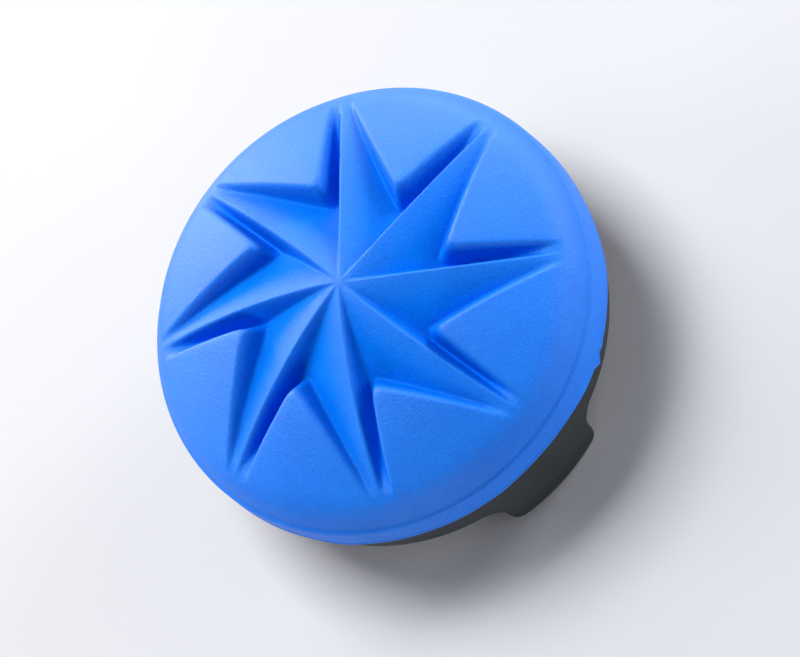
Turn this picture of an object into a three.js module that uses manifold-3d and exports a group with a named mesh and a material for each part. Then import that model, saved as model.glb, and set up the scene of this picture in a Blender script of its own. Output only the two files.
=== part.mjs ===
// Controller thumb grip: a soft rubber tread cap on a stiff clip core that snaps over a stick's head.
// Millimetres, +Z up. The origin is in the middle of the plane that the three prong feet stand on,
// with +Z up the grip's axis and one prong towards -Y.

import * as THREE from "three";
import { ConvexGeometry } from "three/addons/geometries/ConvexGeometry.js";
import { mergeVertices } from "three/addons/utils/BufferGeometryUtils.js";
import Module from "manifold-3d";

const wasm = await Module();
wasm.setup();

// Stick head and the skirt around it
const stickHeadDiameter = 17.6;
const headClearance = 0.1;
const skirtWall = 0.98;

// Levels of the clip core, from the feet up
const prongDrop = 2.3;
const skirtHeight = 2.25;
const socketDepth = 4.55;
const plateThickness = 1.65;

// Prongs and their hooks
const prongCount = 3;
const prongWidth = 5.3;
const prongRootRadius = 1;
const prongFootRadius = 0.6;
const hookReach = 0.75;
const hookHeight = 0.95;
const hookSlope = 0.55;
const footRelief = 0.16;
const footChamfer = 0.2;
const hookLeadIn = 0.4;

// Rubber cap
const capOverhang = 0.62;
const capHeight = 5.65;
const domeRadius = 18.25;
const shoulderWidth = 0.85;
const shoulderDrop = 1.35;
const shoulderTurn = 0.4;
const bandTaper = 0.1;
const lipBevel = 0.12;
const lipSeatWidth = 0.5;
const capFit = 0.08;

// Star pressed into the dome
const armCount = 8;
const firstArmTurn = 7.3;
const tipMargin = 0.25;
const tipWidth = 0.9;
const innerCornerRadius = 5.05;
const innerCornerTurn = 36.1;
const deepCornerRadius = 4.08;
const deepCornerOffset = 0.4;
const deepCornerDepth = 1.35;
const ridgeFullness = 0.65;
const ridgeBow = 0.16;
const ridgeSteps = 4;

// Fineness of the round shapes
const roundSteps = 72;
const domeRings = 9;
const shoulderSteps = 4;
const arcSteps = 5;
const cutterOvershoot = 1;
const mergeDistance = 1e-5;

// Radii and levels that follow
const socketRadius = stickHeadDiameter / 2 + headClearance;
const skirtRadius = socketRadius + skirtWall;
const plugRadius = skirtRadius - lipSeatWidth;
const capRadius = skirtRadius + capOverhang;
const domeEdgeRadius = capRadius - shoulderWidth;
const shoulderLevel = prongDrop + skirtHeight;
const plateTop = socketDepth + plateThickness;
const apexLevel = shoulderLevel + capHeight;
const starRadius = domeEdgeRadius - tipMargin;

const domeHeight = (radius) => apexLevel - domeRadius + Math.sqrt(domeRadius ** 2 - radius ** 2);

// A closed mesh as a solid, and a solid as a mesh geometry
function solidOf(geometry) {
  const bare = geometry.index ? geometry.toNonIndexed() : geometry.clone();
  bare.deleteAttribute("normal");
  bare.deleteAttribute("uv");
  const merged = mergeVertices(bare, mergeDistance);
  return new wasm.Manifold(new wasm.Mesh({
    numProp: 3,
    vertProperties: new Float32Array(merged.attributes.position.array),
    triVerts: new Uint32Array(merged.index.array),
  }));
}

function geometryOf(solid) {
  const mesh = solid.getMesh();
  const geometry = new THREE.BufferGeometry();
  geometry.setAttribute("position", new THREE.BufferAttribute(mesh.vertProperties, 3));
  geometry.setIndex(new THREE.BufferAttribute(mesh.triVerts, 1));
  geometry.computeVertexNormals();
  return geometry;
}

// A turned shape: profile points are [radius, height], from the axis round to the axis
function turned(points) {
  const profile = points.map(([radius, height]) => new THREE.Vector2(radius, height));
  const geometry = new THREE.LatheGeometry(profile, roundSteps);
  geometry.rotateX(Math.PI / 2);
  return geometry;
}

// Rubber cap: shallow dome, soft shoulder, side band and a lip that sits on the core's shoulder
function capProfile() {
  const outline = [[0, plateTop]];
  outline.push([plugRadius + capFit, plateTop]);
  outline.push([plugRadius + capFit, shoulderLevel]);
  outline.push([capRadius - lipBevel, shoulderLevel]);
  outline.push([capRadius, shoulderLevel + lipBevel]);
  const creaseLevel = domeHeight(domeEdgeRadius) - shoulderDrop;
  outline.push([capRadius - bandTaper / 2, creaseLevel]);
  const shoulder = new THREE.QuadraticBezierCurve(
    new THREE.Vector2(capRadius - bandTaper, creaseLevel + bandTaper),
    new THREE.Vector2(domeEdgeRadius + shoulderTurn, domeHeight(domeEdgeRadius) - shoulderTurn),
    new THREE.Vector2(domeEdgeRadius, domeHeight(domeEdgeRadius)),
  );
  shoulder.getPoints(shoulderSteps).forEach((point) => outline.push([point.x, point.y]));
  for (let ring = domeRings - 1; ring > 0; ring -= 1) {
    const radius = domeEdgeRadius * (ring / domeRings);
    outline.push([radius, domeHeight(radius)]);
  }
  outline.push([0, apexLevel]);
  return outline;
}

// Places on the star: turns run clockwise as seen from above, in degrees from an arm
function starPoint(radius, turn, height) {
  const angle = THREE.MathUtils.degToRad(firstArmTurn - turn);
  return new THREE.Vector3(radius * Math.cos(angle), radius * Math.sin(angle), height);
}

// A ridge rises from the tip to the dome's middle, fuller than a straight line and bowed sideways
function ridgePoint(armTurn, share) {
  const radius = starRadius * share;
  const straight = apexLevel + (domeHeight(starRadius) - apexLevel) * share;
  const height = straight + ridgeFullness * (domeHeight(radius) - straight);
  const sideways = ridgeBow * 4 * share * (1 - share);
  const turn = share > 0 ? armTurn + THREE.MathUtils.radToDeg(sideways / radius) : armTurn;
  return starPoint(radius, turn, height);
}

// The outline of one sector of the star: up one ridge, round the inner corner, down the next ridge
function sectorOutline(armTurn) {
  const tipTurn = THREE.MathUtils.radToDeg(tipWidth / 2 / starRadius);
  const nextTurn = armTurn + 360 / armCount;
  const outline = [];
  for (let step = 0; step <= ridgeSteps; step += 1) {
    outline.push(ridgePoint(armTurn, step / ridgeSteps));
  }
  const corner = starPoint(innerCornerRadius, armTurn + innerCornerTurn, domeHeight(innerCornerRadius));
  outline.push(starPoint(starRadius, armTurn + tipTurn, domeHeight(starRadius)));
  outline.push(corner);
  outline.push(starPoint(starRadius, nextTurn - tipTurn, domeHeight(starRadius)));
  for (let step = ridgeSteps; step > 0; step -= 1) {
    outline.push(ridgePoint(nextTurn, step / ridgeSteps));
  }
  return outline;
}

// What a sector takes out of the dome: a hollow that falls from its outline to one deep corner
function sectorCutter(armTurn) {
  const nextTurn = armTurn + 360 / armCount;
  const offsetTurn = THREE.MathUtils.radToDeg(Math.asin(deepCornerOffset / deepCornerRadius));
  const deepLevel = domeHeight(deepCornerRadius) - deepCornerDepth;
  const deep = starPoint(deepCornerRadius, nextTurn - offsetTurn, deepLevel);
  const outline = sectorOutline(armTurn);
  const topLevel = apexLevel + cutterOvershoot;
  const wedges = outline.map((start, index) => {
    const end = outline[(index + 1) % outline.length];
    const bottom = [start, end, deep];
    const top = bottom.map((point) => new THREE.Vector3(point.x, point.y, topLevel));
    return solidOf(new ConvexGeometry([...bottom, ...top]));
  });
  return wedges.reduce((whole, wedge) => whole.add(wedge));
}

// The cap: its turned body with the star taken out
function treadCap() {
  let star = sectorCutter(0);
  for (let arm = 1; arm < armCount; arm += 1) {
    star = star.add(sectorCutter((arm * 360) / armCount));
  }
  return solidOf(turned(capProfile())).subtract(star);
}

// Clip core: a plate with a plug for the cap, a skirt round the stick's head and hooked prongs
function coreProfile() {
  const hookRadius = socketRadius - hookReach;
  const footRadius = skirtRadius - footRelief;
  return [
    [0, socketDepth],
    [socketRadius, socketDepth],
    [socketRadius, hookHeight + hookSlope],
    [hookRadius, hookHeight],
    [hookRadius, hookLeadIn],
    [hookRadius + hookLeadIn, 0],
    [footRadius - footChamfer, 0],
    [footRadius, footChamfer],
    [footRadius, hookHeight],
    [skirtRadius, hookHeight + footRelief],
    [skirtRadius, shoulderLevel],
    [plugRadius, shoulderLevel],
    [plugRadius, plateTop],
    [0, plateTop],
  ];
}

// A prong's face: x across it and y up from its foot, round at the foot and flared at the root
function prongOutline() {
  const half = prongWidth / 2;
  const flare = half + prongRootRadius;
  const rootLevel = prongDrop - prongRootRadius;
  const shape = new THREE.Shape();
  shape.moveTo(-half + prongFootRadius, 0);
  shape.lineTo(half - prongFootRadius, 0);
  shape.absarc(half - prongFootRadius, prongFootRadius, prongFootRadius, -Math.PI / 2, 0, false);
  shape.lineTo(half, rootLevel);
  shape.absarc(flare, rootLevel, prongRootRadius, Math.PI, Math.PI / 2, true);
  shape.lineTo(flare, prongDrop + cutterOvershoot);
  shape.lineTo(-flare, prongDrop + cutterOvershoot);
  shape.lineTo(-flare, prongDrop);
  shape.absarc(-flare, rootLevel, prongRootRadius, Math.PI / 2, 0, true);
  shape.lineTo(-half, prongFootRadius);
  shape.absarc(-half + prongFootRadius, prongFootRadius, prongFootRadius, Math.PI, Math.PI * 1.5, false);
  return shape;
}

// Everything that the core may fill: all of it above the skirt's edge, and the prongs below
function coreEnvelope() {
  const reach = skirtRadius + cutterOvershoot;
  let envelope = solidOf(turned([
    [0, prongDrop],
    [reach, prongDrop],
    [reach, plateTop + cutterOvershoot],
    [0, plateTop + cutterOvershoot],
  ]));
  for (let prong = 0; prong < prongCount; prong += 1) {
    const bar = new THREE.ExtrudeGeometry(prongOutline(), {
      depth: reach,
      bevelEnabled: false,
      curveSegments: arcSteps,
    });
    bar.rotateX(Math.PI / 2);
    bar.rotateZ((prong * 2 * Math.PI) / prongCount);
    envelope = envelope.add(solidOf(bar));
  }
  return envelope;
}

// The core: its turned body without what lies between the prongs
function clipCore() {
  return solidOf(turned(coreProfile())).intersect(coreEnvelope());
}

// Materials: soft matte blue rubber and fine-textured charcoal plastic
const rubber = new THREE.MeshStandardMaterial({ color: "#1f7df2", roughness: 0.72, metalness: 0 });
const plastic = new THREE.MeshStandardMaterial({ color: "#373b3e", roughness: 0.55, metalness: 0 });

function part(name, solid, material) {
  const mesh = new THREE.Mesh(geometryOf(solid), material);
  mesh.name = name;
  return mesh;
}

const thumbGrip = new THREE.Group();
thumbGrip.add(part("tread_cap", treadCap(), rubber));
thumbGrip.add(part("clip_core", clipCore(), plastic));

export default thumbGrip;
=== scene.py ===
import math

import bmesh
import bpy
import numpy as np
from mathutils import Matrix, Vector


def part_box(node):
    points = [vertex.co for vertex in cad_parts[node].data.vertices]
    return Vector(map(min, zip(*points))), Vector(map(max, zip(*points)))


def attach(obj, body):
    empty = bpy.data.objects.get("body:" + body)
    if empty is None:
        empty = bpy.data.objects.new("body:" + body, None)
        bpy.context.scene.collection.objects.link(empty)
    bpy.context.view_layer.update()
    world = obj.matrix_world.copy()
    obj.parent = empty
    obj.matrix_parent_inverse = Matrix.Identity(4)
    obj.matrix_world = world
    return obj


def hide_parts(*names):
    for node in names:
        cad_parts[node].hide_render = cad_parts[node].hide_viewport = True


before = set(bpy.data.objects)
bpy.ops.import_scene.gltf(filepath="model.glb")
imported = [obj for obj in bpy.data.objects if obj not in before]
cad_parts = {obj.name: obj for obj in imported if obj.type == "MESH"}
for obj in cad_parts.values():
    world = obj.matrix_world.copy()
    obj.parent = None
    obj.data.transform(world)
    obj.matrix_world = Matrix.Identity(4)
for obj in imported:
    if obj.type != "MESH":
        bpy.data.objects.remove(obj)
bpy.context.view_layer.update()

# The camera stands where the photograph's did: a long lens, nearly above the grip, on the side of its
# front prong. It is rolled, so that the grip's axis leans to the picture's upper left.
MM = 0.001
view_azimuth = math.radians(3.3)
view_tilt = math.radians(29.43)
view_roll = math.radians(50.71)
camera_distance = 1250.0 * MM
pixels_per_metre = 22500.0
frame_width_px = 800
frame_height_px = 657
apex_px = (338.1, 281.3)

cap_low, cap_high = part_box("tread_cap")
apex = Vector((0, 0, cap_high.z))
to_camera = Vector((
    math.sin(view_azimuth) * math.sin(view_tilt),
    -math.cos(view_azimuth) * math.sin(view_tilt),
    math.cos(view_tilt),
))
level_up = (Vector((0, 0, 1)) - to_camera * to_camera.z).normalized()
level_right = level_up.cross(to_camera)
picture_right = level_right * math.cos(view_roll) - level_up * math.sin(view_roll)
picture_up = level_right * math.sin(view_roll) + level_up * math.cos(view_roll)
middle = (
    apex
    + picture_right * ((frame_width_px / 2 - apex_px[0]) / pixels_per_metre)
    - picture_up * ((frame_height_px / 2 - apex_px[1]) / pixels_per_metre)
)
camera_place = apex + to_camera * camera_distance
back = (camera_place - middle).normalized()
up = (picture_up - back * picture_up.dot(back)).normalized()
right = up.cross(back)

camera_data = bpy.data.cameras.new("studio_camera")
camera_data.sensor_width = 36.0
camera_data.lens = camera_data.sensor_width * camera_distance * pixels_per_metre / frame_width_px
camera_data.clip_start = 0.01
camera_data.clip_end = 10.0
camera = bpy.data.objects.new("studio_camera", camera_data)
camera.matrix_world = Matrix.Translation(camera_place) @ Matrix((right, up, back)).transposed().to_4x4()
bpy.context.scene.collection.objects.link(camera)
bpy.context.scene.camera = camera
bpy.context.scene.view_settings.view_transform = "Standard"


# Tread cap: one piece of soft blue silicone rubber, moulded on the clip core and bonded to it. Its
# shallow dome has an eight-armed star pressed in for grip, and its side ends in a thin trimmed lip.
# Sizes are in millimetres, and turns and azimuths in degrees.
core_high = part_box("clip_core")[1]
cap_radius = cap_high.x / MM
apex_level = cap_high.z / MM
lip_level = cap_low.z / MM
skirt_radius = core_high.x / MM
plate_top = core_high.z / MM

dome_radius = 18.25
shoulder_width = 0.85
shoulder_drop = 1.35
shoulder_turn = 0.95
shoulder_blend = 0.48
dome_edge = cap_radius - shoulder_width
shoulder_radius = dome_edge - shoulder_blend

star_margin = 0.25
star_radius = dome_edge - star_margin
arm_count = 8
arm_pitch = 2 * math.pi / arm_count
first_arm_turn = 7.3
tip_half_width = 0.52
inner_corner_radius = 5.05
inner_corner_turn = 36.1
deep_corner_radius = 4.08
deep_corner_turn = 5.6
deep_corner_depth = 1.45

# A ridge is fuller than a straight line and bowed sideways. A facet falls gently from its ridge and
# more briskly at its foot, and an arm ends in a slope.
ridge_fullness = 0.65
ridge_bow = 0.16
gentle_slope = 0.75
brisk_slope = 1.25
foot_at_middle = 0.05
arm_end_slope = 0.55
arm_end_depth = 0.05
roll_over_round = 0.3
ridge_round = 0.3
edge_round = 0.3
corner_round = 1.4
valley_round = 0.35
fillet_round = 0.2
nowhere_depth = -1.0


def dome_level(radius):
    """The dome's height at a distance from the axis."""
    return apex_level - dome_radius + np.sqrt(dome_radius**2 - radius**2)


def smooth_max(one, other, width):
    """The larger of two depths, rounded over where they cross."""
    share = np.clip(0.5 + 0.5 * (one - other) / width, 0, 1)
    return other + (one - other) * share + width * share * (1 - share)


def smooth_min(one, other, width):
    """The smaller of two depths, rounded out where they cross."""
    return -smooth_max(-one, -other, width)


def place_in_sector(radius, turn):
    """A point (along, across) at a distance and a turn in degrees from the sector's first ridge."""
    return (radius * math.cos(math.radians(turn)), radius * math.sin(math.radians(turn)))


def wall_depth(along, across, start, end, deep):
    """Depth of a straight wall that falls from the line start-end and passes the deep corner."""
    direction = np.subtract(end, start) / np.hypot(*np.subtract(end, start))
    inward = np.array((-direction[1], direction[0]))
    if np.dot(inward, np.subtract(deep, start)) < 0:
        inward = -inward
    reach = np.dot(inward, np.subtract(deep, start))
    distance = (along - start[0]) * inward[0] + (across - start[1]) * inward[1]
    return deep_corner_depth * distance / reach


def ridge_depth(along):
    """How far a ridge's crest lies below the dome."""
    tip_level = dome_level(star_radius)
    straight = apex_level + (tip_level - apex_level) * along / star_radius
    level = dome_level(np.abs(along))
    return (1 - ridge_fullness) * (level - straight)


def facet_depth(along, across, bow, deep):
    """Depth of the broad facet that falls from the sector's first ridge to the deep corner."""
    slope = (deep_corner_depth - ridge_depth(deep[0])) / deep[1]
    foot = np.interp(along, (0, deep[0], star_radius), (foot_at_middle, deep[1], tip_half_width))
    step_down = (across - bow) / foot
    gentle = slope * foot * gentle_slope * step_down
    brisk = slope * foot * (1 + brisk_slope * (step_down - 1))
    return ridge_depth(along) + smooth_max(gentle, brisk, roll_over_round * slope * foot)


def steep_depth(along, across, bow):
    """Depth of the steep face that falls from the next ridge to the deep corner."""
    next_along = along * math.cos(arm_pitch) + across * math.sin(arm_pitch)
    next_across = across * math.cos(arm_pitch) - along * math.sin(arm_pitch)
    slope = (deep_corner_depth - ridge_depth(deep_corner_radius)) / (
        deep_corner_radius * math.sin(math.radians(deep_corner_turn))
    )
    return ridge_depth(next_along) - slope * (next_across - bow)


def sector_depth(along, across):
    """Depth below the dome in one sector of the star. along runs out on its first ridge, across turns
    clockwise from it."""
    share = np.clip(np.hypot(along, across) / star_radius, 0, 1)
    bow = ridge_bow * 4 * share * (1 - share)
    deep = place_in_sector(deep_corner_radius, math.degrees(arm_pitch) - deep_corner_turn)
    corner = place_in_sector(inner_corner_radius, inner_corner_turn)
    first_tip = (star_radius, tip_half_width)
    next_tip = (
        star_radius * math.cos(arm_pitch) + tip_half_width * math.sin(arm_pitch),
        star_radius * math.sin(arm_pitch) - tip_half_width * math.cos(arm_pitch),
    )
    left_wall = wall_depth(along, across, first_tip, corner, deep)
    right_wall = wall_depth(along, across, corner, next_tip, deep)
    walls = smooth_max(left_wall, right_wall, corner_round)
    facet = facet_depth(along, across, bow, deep)
    floor = smooth_min(facet, steep_depth(along, across, bow), valley_round)
    return smooth_min(floor, walls, fillet_round)


def star_depth(x, y):
    """Depth of the pressed star below the dome."""
    radius = np.hypot(x, y)
    turn = np.radians(first_arm_turn) - np.arctan2(y, x)
    turn_in_sector = np.mod(turn, arm_pitch)
    depth = np.full_like(radius, nowhere_depth)
    for neighbour in (-1, 0, 1):
        local = turn_in_sector - neighbour * arm_pitch
        sector = sector_depth(radius * np.cos(local), radius * np.sin(local))
        depth = smooth_max(depth, sector, ridge_round)
    depth = smooth_min(depth, (star_radius - radius) * arm_end_slope + arm_end_depth, edge_round)
    return smooth_max(depth, np.zeros_like(depth), edge_round)


def spun(outline, steps, sectors):
    """A bmesh of an outline of (radius, height) points in millimetres, turned round the axis: one sector is
    spun, and the others are copies of it."""
    bm = bmesh.new()
    chain = [bm.verts.new((radius * MM, 0, height * MM)) for radius, height in outline]
    edges = [bm.edges.new(pair) for pair in zip(chain, chain[1:])]
    turn = 2 * math.pi / sectors
    bmesh.ops.spin(
        bm, geom=chain + edges, cent=(0, 0, 0), axis=(0, 0, 1), angle=turn, steps=steps // sectors
    )
    sector = bm.verts[:] + bm.edges[:] + bm.faces[:]
    for copy in range(1, sectors):
        made = bmesh.ops.duplicate(bm, geom=sector)["geom"]
        verts = [element for element in made if isinstance(element, bmesh.types.BMVert)]
        bmesh.ops.rotate(bm, verts=verts, cent=(0, 0, 0), matrix=Matrix.Rotation(copy * turn, 3, "Z"))
    bmesh.ops.remove_doubles(bm, verts=bm.verts, dist=1e-4 * MM)
    return bm


def finished(name, bm):
    """Closes a bmesh into an object whose place is in its mesh."""
    bmesh.ops.recalc_face_normals(bm, faces=bm.faces)
    mesh = bpy.data.meshes.new(name)
    bm.to_mesh(mesh)
    bm.free()
    mesh.shade_smooth()
    piece = bpy.data.objects.new(name, mesh)
    bpy.context.scene.collection.objects.link(piece)
    return piece


# The cap's outline, from the apex over the dome and the soft shoulder, down the side band with its
# small upper step and its groove, round the lip, and in under the cap to the face on the core's plug.
# Short stretches are pairs: how far in from the wall, and how far down from the crease or up from the lip.
fine_dome_radius = 3.0
fine_ring_step = 0.2
dome_ring_count = 75
shoulder_points = 18
shoulder_inset = 0.15
spin_steps = 704
band_step = ((0.13, 0.04), (0.04, 0.07), (0.0, 0.14))
band_rows = 6
band_top_drop = 0.25
band_foot_rise = 0.36
groove = ((0.015, 0.31), (0.06, 0.265), (0.06, 0.235), (0.015, 0.19), (0.0, 0.14))
lip = ((0.0, 0.09), (0.03, 0.03), (0.09, 0.0))
lip_inner_edge = ((0.12, 0.0), (0.04, 0.01), (-0.02, 0.01))
seat_gap = 0.01
lip_seat_width = 0.5
plug_gap = 0.08
plug_radius = skirt_radius - lip_seat_width
plug_gap_radius = plug_radius + plug_gap

crease_level = float(dome_level(dome_edge)) - shoulder_drop
inner_rings = np.arange(0, fine_dome_radius, fine_ring_step)
outer_rings = np.linspace(fine_dome_radius, shoulder_radius, dome_ring_count)
cap_outline = [(radius, float(dome_level(radius))) for radius in (*inner_rings, *outer_rings)]
shoulder_start = np.array((shoulder_radius, dome_level(shoulder_radius)))
dome_slope = shoulder_radius / math.sqrt(dome_radius**2 - shoulder_radius**2)
shoulder_pull = shoulder_start + shoulder_turn * np.array((1, -dome_slope))
shoulder_end = np.array((cap_radius - shoulder_inset, crease_level))
for share in np.linspace(0, 1, shoulder_points + 1)[1:]:
    point = (
        shoulder_start * (1 - share) ** 2
        + shoulder_pull * 2 * share * (1 - share)
        + shoulder_end * share**2
    )
    cap_outline.append(tuple(point))
cap_outline += [(cap_radius - inset, crease_level - drop) for inset, drop in band_step]
band_levels = np.linspace(crease_level - band_top_drop, lip_level + band_foot_rise, band_rows)
cap_outline += [(cap_radius, level) for level in band_levels]
cap_outline += [(cap_radius - inset, lip_level + rise) for inset, rise in groove + lip]
cap_outline += [(skirt_radius + outset, lip_level + rise) for outset, rise in lip_inner_edge]
cap_outline += [(plug_gap_radius, lip_level + seat_gap), (plug_gap_radius, plate_top), (0, plate_top)]
cap_piece = finished("tread_cap_rubber", spun(cap_outline, spin_steps, arm_count))

# The lip is trimmed unevenly: it hangs lower on one side, has a dip and a small nub with a tail, and waves
# slightly all the way round. Places on it are azimuths.
trim_rise = 0.06
low_side_drop = 0.5
low_side_azimuths = (-72.0, -24.0)
low_side_eases = (5.0, 4.0)
dip_drop = 0.15
dip_azimuth = -144.0
dip_width = 5.0
nub_drop = 0.36
nub_azimuth = -60.9
nub_width = 1.4
nub_tail_share = 0.25
nub_tail_azimuth = -56.7
nub_tail_width = 1.0
trim_waves = ((0.02, 11, 0), (0.015, 23, 40))


def eased_step(azimuth, middle, ease):
    """Rises smoothly from 0 to 1 at an azimuth."""
    return 1 / (1 + np.exp((middle - azimuth) / ease))


def hump(azimuth, middle, width):
    """A smooth hump of height 1 at an azimuth."""
    return np.exp(-(((azimuth - middle) / width) ** 2))


def lip_rise(azimuth):
    """How far the trimmed lip stands above its mean level."""
    low_side = eased_step(azimuth, low_side_azimuths[0], low_side_eases[0])
    low_side -= eased_step(azimuth, low_side_azimuths[1], low_side_eases[1])
    dip = hump(azimuth, dip_azimuth, dip_width)
    nub = hump(azimuth, nub_azimuth, nub_width)
    nub += nub_tail_share * hump(azimuth, nub_tail_azimuth, nub_tail_width)
    waves = sum(size * np.sin(np.radians(azimuth * count + phase)) for size, count, phase in trim_waves)
    return trim_rise - low_side_drop * low_side - dip_drop * dip - nub_drop * nub + waves


# The star is pressed into the spun dome, and the lip is trimmed. How deep each point lies in the star is
# kept for the material.
tolerance = 0.01
dome_clearance = 0.2
pressed_depth = 0.8
lip_reach = 0.9
lip_fade = 0.5
lip_root = 0.05
lip_root_fade = 0.06

points = np.empty(len(cap_piece.data.vertices) * 3)
cap_piece.data.vertices.foreach_get("co", points)
points = points.reshape(-1, 3) / MM
radius = np.hypot(points[:, 0], points[:, 1])
on_dome = (radius < dome_edge + tolerance) & (points[:, 2] > plate_top + dome_clearance)
depth = star_depth(points[on_dome, 0], points[on_dome, 1])
points[on_dome, 2] -= depth
pressed = np.zeros(len(points))
pressed[on_dome] = np.clip(depth / pressed_depth, 0, 1)
cap_piece.data.attributes.new("pressed", "FLOAT", "POINT").data.foreach_set("value", pressed)
azimuth = np.degrees(np.arctan2(points[:, 1], points[:, 0]))
lip_share = np.clip((lip_level + lip_reach - points[:, 2]) / lip_fade, 0, 1)
lip_share *= np.clip((radius - skirt_radius - lip_root) / lip_root_fade, 0, 1)
points[:, 2] += lip_share * lip_rise(azimuth)
cap_piece.data.vertices.foreach_set("co", (points * MM).ravel())
cap_piece.data.update()


def linear(hex_colour):
    """An sRGB hex colour as linear RGBA."""
    parts = [int(hex_colour[i : i + 2], 16) / 255 for i in (1, 3, 5)]
    return (*[c / 12.92 if c <= 0.04045 else ((c + 0.055) / 1.055) ** 2.4 for c in parts], 1)


def add_node(tree, kind, settings=None, inputs=None):
    """A shader node with its settings and its inputs, by name or number: a socket is linked, and a value
    is set."""
    node = tree.nodes.new(kind)
    for key, value in (settings or {}).items():
        setattr(node, key, value)
    for key, value in (inputs or {}).items():
        if isinstance(value, bpy.types.NodeSocket):
            tree.links.new(value, node.inputs[key])
        else:
            node.inputs[key].default_value = value
    return node


# Silicone rubber, coloured through and moulded in a finely blasted tool. The eye sees a matte blue with a
# soft sheen that fades deep in the star, a fine grain that is drawn coarser than it is so that it shows,
# cloudy patches, and faint turning rings that the tool leaves on the dome.
rubber_shadow_blue = linear("#0055C6")
rubber_light_blue = linear("#0086FE")
grain_size = 0.12 * MM
grain_height = 0.04 * MM
grain_share = 0.7
mottle_size = 2.6 * MM
mottle_share = 0.3
ring_pitch = 0.32 * MM
ring_height = 0.01 * MM

rubber = bpy.data.materials.new("silicone_rubber_moulded_matte")
rubber.use_nodes = True
tree = rubber.node_tree
shader = tree.nodes["Principled BSDF"]
shader.inputs["Roughness"].default_value = 0.56
shader.inputs["IOR"].default_value = 1.42
place = add_node(tree, "ShaderNodeTexCoord").outputs["Object"]
grain = add_node(
    tree,
    "ShaderNodeTexNoise",
    None,
    {"Vector": place, "Scale": 1 / grain_size, "Detail": 3.0, "Roughness": 0.6},
)
mottle = add_node(
    tree, "ShaderNodeTexNoise", None, {"Vector": place, "Scale": 1 / mottle_size, "Detail": 2.0}
)
rings = add_node(
    tree,
    "ShaderNodeTexWave",
    {"wave_type": "RINGS", "rings_direction": "Z"},
    {
        "Vector": place,
        "Scale": math.pi / 10 / ring_pitch,
        "Distortion": 1.5,
        "Detail": 2.0,
        "Detail Scale": 1.0,
    },
)
part_mottle = add_node(
    tree, "ShaderNodeMath", {"operation": "MULTIPLY"}, {0: mottle.outputs["Fac"], 1: mottle_share}
)
speckle = add_node(
    tree,
    "ShaderNodeMath",
    {"operation": "MULTIPLY_ADD"},
    {0: grain.outputs["Fac"], 1: grain_share, 2: part_mottle.outputs["Value"]},
)
shades = add_node(
    tree,
    "ShaderNodeMix",
    {"data_type": "RGBA"},
    {"Factor": speckle.outputs["Value"], 6: rubber_shadow_blue, 7: rubber_light_blue},
)
ring_bump = add_node(
    tree,
    "ShaderNodeBump",
    None,
    {"Strength": 0.12, "Distance": ring_height, "Height": rings.outputs["Fac"]},
)
grain_bump = add_node(
    tree,
    "ShaderNodeBump",
    None,
    {
        "Strength": 0.8,
        "Distance": grain_height,
        "Height": grain.outputs["Fac"],
        "Normal": ring_bump.outputs["Normal"],
    },
)
pressed_share = add_node(tree, "ShaderNodeAttribute", {"attribute_name": "pressed"}).outputs["Fac"]
sheen = add_node(
    tree, "ShaderNodeMapRange", None, {"Value": pressed_share, "To Min": 0.52, "To Max": 0.06}
)
tree.links.new(shades.outputs[2], shader.inputs["Base Color"])
tree.links.new(grain_bump.outputs["Normal"], shader.inputs["Normal"])
tree.links.new(sheen.outputs["Result"], shader.inputs["Specular IOR Level"])
cap_piece.data.materials.append(rubber)
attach(cap_piece, "root")
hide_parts("tread_cap")


# Clip core: one moulding in stiff charcoal ABS. Its plate carries the rubber, its skirt goes round the
# head of the stick, and its three hooked prongs snap under the head. The two profiles are points of
# (level, radius): the socket's wall with the hook at its foot, and the skirt with the set-back foot.
socket_radius = 8.9
ceiling_level = 4.55
ceiling_round = 0.35
prong_drop = 2.3
prong_count = 3
prong_half_width = 2.65
prong_root_radius = 1.0
prong_foot_radius = 0.6
side_draft = 0.04
hook_radius = 8.15
foot_radius = 9.72
rim_round = 0.14
plug_chamfer = 0.05
front_prong_azimuth = -90.0
hook_profile = (
    (0, 8.6),
    (0.12, 8.4),
    (0.4, hook_radius),
    (0.95, hook_radius),
    (1.05, 8.22),
    (1.45, 8.84),
    (1.57, socket_radius),
)
foot_profile = (
    (0, 9.6),
    (0.05, 9.68),
    (0.14, foot_radius),
    (0.32, foot_radius),
    (0.8, 9.64),
    (0.93, 9.64),
    (0.98, 9.7),
    (1.04, 9.83),
    (1.12, skirt_radius),
)
shoulder_edge = ((0.0, 0.08), (0.03, 0.02), (0.08, 0.0))
root_edge = prong_half_width + side_draft + prong_root_radius
half_pitch = math.pi * skirt_radius / prong_count
foot_columns = 18
foot_round_columns = 9
root_round_columns = 16
gap_columns = 29
prong_rows_top = 2.6
prong_row_step = 0.07
skirt_rows = (2.9, 3.3, 3.7, 4.0)
axis_gap = 0.1


def prong_edge():
    """Half of one prong's outline and half of the gap beside it, as (distance round the skirt, height)."""
    corner = prong_half_width - prong_foot_radius
    outline = [(x, 0.0) for x in np.linspace(0, corner, foot_columns)]
    for angle in np.linspace(0, math.pi / 2, foot_round_columns + 1)[1:]:
        outline.append((
            corner + prong_foot_radius * math.sin(angle),
            prong_foot_radius * (1 - math.cos(angle)),
        ))
    for angle in np.linspace(0, math.pi / 2, root_round_columns):
        outline.append((
            root_edge - prong_root_radius * math.cos(angle),
            prong_drop - prong_root_radius * (1 - math.sin(angle)),
        ))
    outline += [(x, prong_drop) for x in np.linspace(root_edge, half_pitch, gap_columns + 1)[1:]]
    return np.array(outline)


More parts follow.
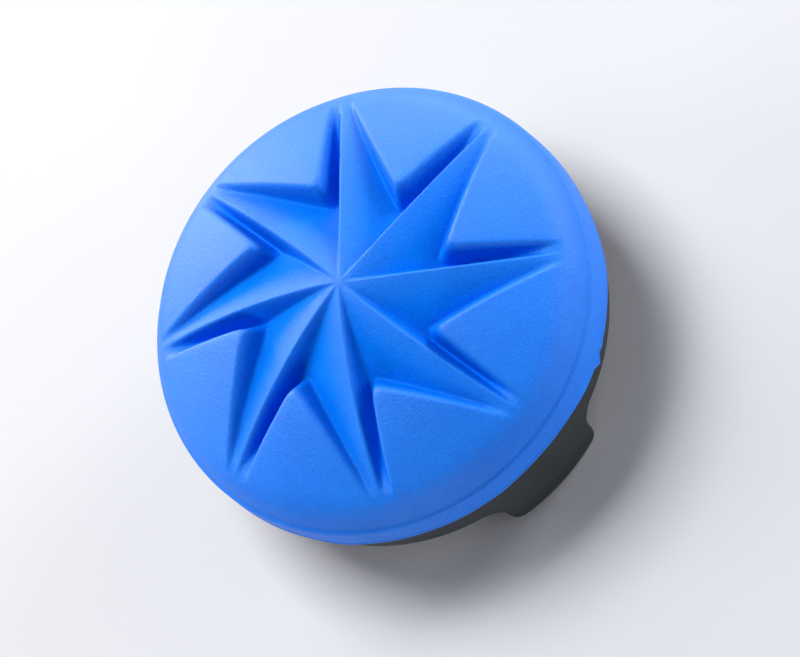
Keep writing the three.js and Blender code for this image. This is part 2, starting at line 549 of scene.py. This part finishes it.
def turn_from_prong(across, radius):
    """The angle from a prong's middle. Its sides are parallel, so nearer the axis they turn further."""
    if across <= root_edge:
        return math.asin(across / radius)
    at_root = math.asin(root_edge / radius)
    rest = (across - root_edge) / (half_pitch - root_edge)
    return at_root + (math.pi / prong_count - at_root) * rest


def radius_at(level, profile):
    """A profile's radius at a level."""
    levels, radii = zip(*profile)
    return float(np.interp(level, levels, radii))


wall_levels = [*np.arange(0, prong_rows_top, prong_row_step), *skirt_rows]
core_outline = [(0, ceiling_level), (socket_radius - ceiling_round, ceiling_level)]
for angle in np.radians((20, 45, 70)):
    core_outline.append((
        socket_radius - ceiling_round * (1 - math.sin(angle)),
        ceiling_level - ceiling_round * (1 - math.cos(angle)),
    ))
core_outline += [(socket_radius, level) for level in reversed(wall_levels)]
core_outline += [(skirt_radius, level) for level in wall_levels]
core_outline += [(skirt_radius - inset, lip_level - drop) for inset, drop in shoulder_edge]
core_outline += [
    (plug_radius, lip_level),
    (plug_radius, plate_top - plug_chamfer),
    (plug_radius - plug_chamfer, plate_top),
    (0, plate_top),
]

# The spun core's columns are moved to follow the prongs' outline: below it the wall is pulled up to the
# outline, and along it the edge is rounded.
edge = prong_edge()
half_columns = len(edge) - 1
pitch_columns = half_columns * 2
core_steps = pitch_columns * prong_count
bm = spun(core_outline, core_steps, prong_count)
for vert in bm.verts:
    radius = math.hypot(vert.co.x, vert.co.y) / MM
    level = vert.co.z / MM
    if radius < axis_gap:
        continue
    column = round(math.atan2(vert.co.y, vert.co.x) / (2 * math.pi) * core_steps) % core_steps
    in_pitch = column % pitch_columns
    past_middle = in_pitch > half_columns
    across, bottom = edge[pitch_columns - in_pitch if past_middle else in_pitch]
    side = -1 if past_middle else 1
    prong = column // pitch_columns + past_middle
    turn = across / skirt_radius
    on_wall = level < wall_levels[-1] + tolerance and radius > socket_radius - tolerance
    if on_wall:
        outside = radius > (socket_radius + skirt_radius) / 2
        level = max(level, bottom)
        radius = radius_at(level, foot_profile if outside else hook_profile)
        to_edge = float(np.min(np.hypot(edge[:, 0] - across, edge[:, 1] - level)))
        if to_edge < rim_round:
            pull = rim_round - math.sqrt(rim_round**2 - (rim_round - to_edge) ** 2)
            radius += -pull if outside else pull
        turn = turn_from_prong(across, radius)
    azimuth = math.radians(front_prong_azimuth + prong * 360 / prong_count) + side * turn
    vert.co = (radius * MM * math.cos(azimuth), radius * MM * math.sin(azimuth), level * MM)
bmesh.ops.remove_doubles(bm, verts=bm.verts, dist=1e-3 * MM)
bmesh.ops.dissolve_degenerate(bm, edges=bm.edges, dist=1e-3 * MM)
core_piece = finished("clip_core_plastic", bm)

# ABS moulded in a tool with a fine spark-eroded texture. The eye sees a charcoal with a slightly green
# cast and a satin sheen. The texture is drawn coarser than it is, so that it shows.
charcoal = linear("#22272A")
pale_charcoal = linear("#2A3032")
texture_size = 0.09 * MM
texture_height = 0.015 * MM
cloud_size = 1.8 * MM

plastic = bpy.data.materials.new("abs_plastic_spark_textured")
plastic.use_nodes = True
tree = plastic.node_tree
shader = tree.nodes["Principled BSDF"]
shader.inputs["Roughness"].default_value = 0.48
shader.inputs["IOR"].default_value = 1.5
place = add_node(tree, "ShaderNodeTexCoord").outputs["Object"]
texture = add_node(
    tree, "ShaderNodeTexNoise", None, {"Vector": place, "Scale": 1 / texture_size, "Detail": 3.0}
)
clouds = add_node(
    tree, "ShaderNodeTexNoise", None, {"Vector": place, "Scale": 1 / cloud_size, "Detail": 2.0}
)
shades = add_node(
    tree,
    "ShaderNodeMix",
    {"data_type": "RGBA"},
    {"Factor": clouds.outputs["Fac"], 6: charcoal, 7: pale_charcoal},
)
texture_bump = add_node(
    tree,
    "ShaderNodeBump",
    None,
    {"Strength": 0.4, "Distance": texture_height, "Height": texture.outputs["Fac"]},
)
tree.links.new(shades.outputs[2], shader.inputs["Base Color"])
tree.links.new(texture_bump.outputs["Normal"], shader.inputs["Normal"])
core_piece.data.materials.append(plastic)
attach(core_piece, "root")
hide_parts("clip_core")


# Floor: a pale matte sheet that the prongs stand on. Its colour carries painted shade: it is a little
# darker on the camera's side of the grip than on the far side, where the lamps stand.
floor_size = 4.0
painted_shade_paper = linear("#CDCED5")
painted_light_paper = linear("#D9D9DB")
shade_reach = 22 * MM

bm = bmesh.new()
bmesh.ops.create_grid(bm, x_segments=1, y_segments=1, size=floor_size / 2)
floor = finished("studio_floor", bm)
paper = bpy.data.materials.new("matte_white_paper")
paper.use_nodes = True
tree = paper.node_tree
shader = tree.nodes["Principled BSDF"]
shader.inputs["Roughness"].default_value = 0.9
place = add_node(tree, "ShaderNodeTexCoord").outputs["Object"]
away_from_camera = (-math.sin(view_azimuth), math.cos(view_azimuth), 0)
distance_away = add_node(
    tree, "ShaderNodeVectorMath", {"operation": "DOT_PRODUCT"}, {0: place, 1: away_from_camera}
)
far_share = add_node(
    tree,
    "ShaderNodeMapRange",
    None,
    {"Value": distance_away.outputs["Value"], "From Min": -shade_reach, "From Max": shade_reach},
)
# Painted shade on the paper: its colour darkens from the far side of the grip towards the camera's side.
shades = add_node(
    tree,
    "ShaderNodeMix",
    {"data_type": "RGBA"},
    {"Factor": far_share.outputs["Result"], 6: painted_shade_paper, 7: painted_light_paper},
)
tree.links.new(shades.outputs[2], shader.inputs["Base Color"])
floor.data.materials.append(paper)

# Studio light: a pale surround that lights little, a large soft lamp high beyond the grip, a lower one
# under it, and small ones low all round, whose light grazes the rubber and the walls of the star. Two
# cards beyond the grip show as sheen only.
surround_strength = 0.08
backdrop_strength = 0.8
lamp_distance = 0.4

world = bpy.data.worlds.new("soft_surround")
bpy.context.scene.world = world
world.use_nodes = True
tree = world.node_tree
surround = tree.nodes["Background"]
surround.inputs["Color"].default_value = linear("#F2F5FF")
seen_directly = add_node(tree, "ShaderNodeLightPath").outputs["Is Camera Ray"]
surround_light = add_node(
    tree,
    "ShaderNodeMath",
    {"operation": "MULTIPLY_ADD"},
    {0: seen_directly, 1: backdrop_strength, 2: surround_strength},
)
tree.links.new(surround_light.outputs["Value"], surround.inputs["Strength"])


def studio_lamp(name, azimuth, elevation, size, energy, sheen_only=False):
    """A soft square lamp that faces the grip, its direction in degrees and its size in metres."""
    data = bpy.data.lights.new(name, "AREA")
    data.shape = "SQUARE"
    data.size = size
    data.energy = energy
    lamp = bpy.data.objects.new(name, data)
    from_grip = Vector((
        math.cos(math.radians(azimuth)) * math.cos(math.radians(elevation)),
        math.sin(math.radians(azimuth)) * math.cos(math.radians(elevation)),
        math.sin(math.radians(elevation)),
    ))
    lamp.location = apex + from_grip * lamp_distance
    lamp.rotation_mode = "QUATERNION"
    lamp.rotation_quaternion = from_grip.to_track_quat("Z", "Y")
    lamp.visible_diffuse = not sheen_only
    bpy.context.scene.collection.objects.link(lamp)


studio_lamp("overhead_softbox", azimuth=93.0, elevation=62.0, size=0.22, energy=1.68)
studio_lamp("window_light", azimuth=93.0, elevation=34.0, size=0.22, energy=0.5)
studio_lamp("left_window_light", azimuth=138.0, elevation=16.0, size=0.16, energy=0.48)
studio_lamp("right_card", azimuth=3.0, elevation=7.0, size=0.14, energy=1.2)
studio_lamp("near_right_card", azimuth=318.0, elevation=6.0, size=0.2, energy=0.66)
studio_lamp("near_left_card", azimuth=232.0, elevation=6.0, size=0.2, energy=0.65)
studio_lamp("far_card", azimuth=97.0, elevation=6.0, size=0.12, energy=1.5, sheen_only=True)
studio_lamp("far_right_card", azimuth=48.0, elevation=6.0, size=0.14, energy=1.5, sheen_only=True)
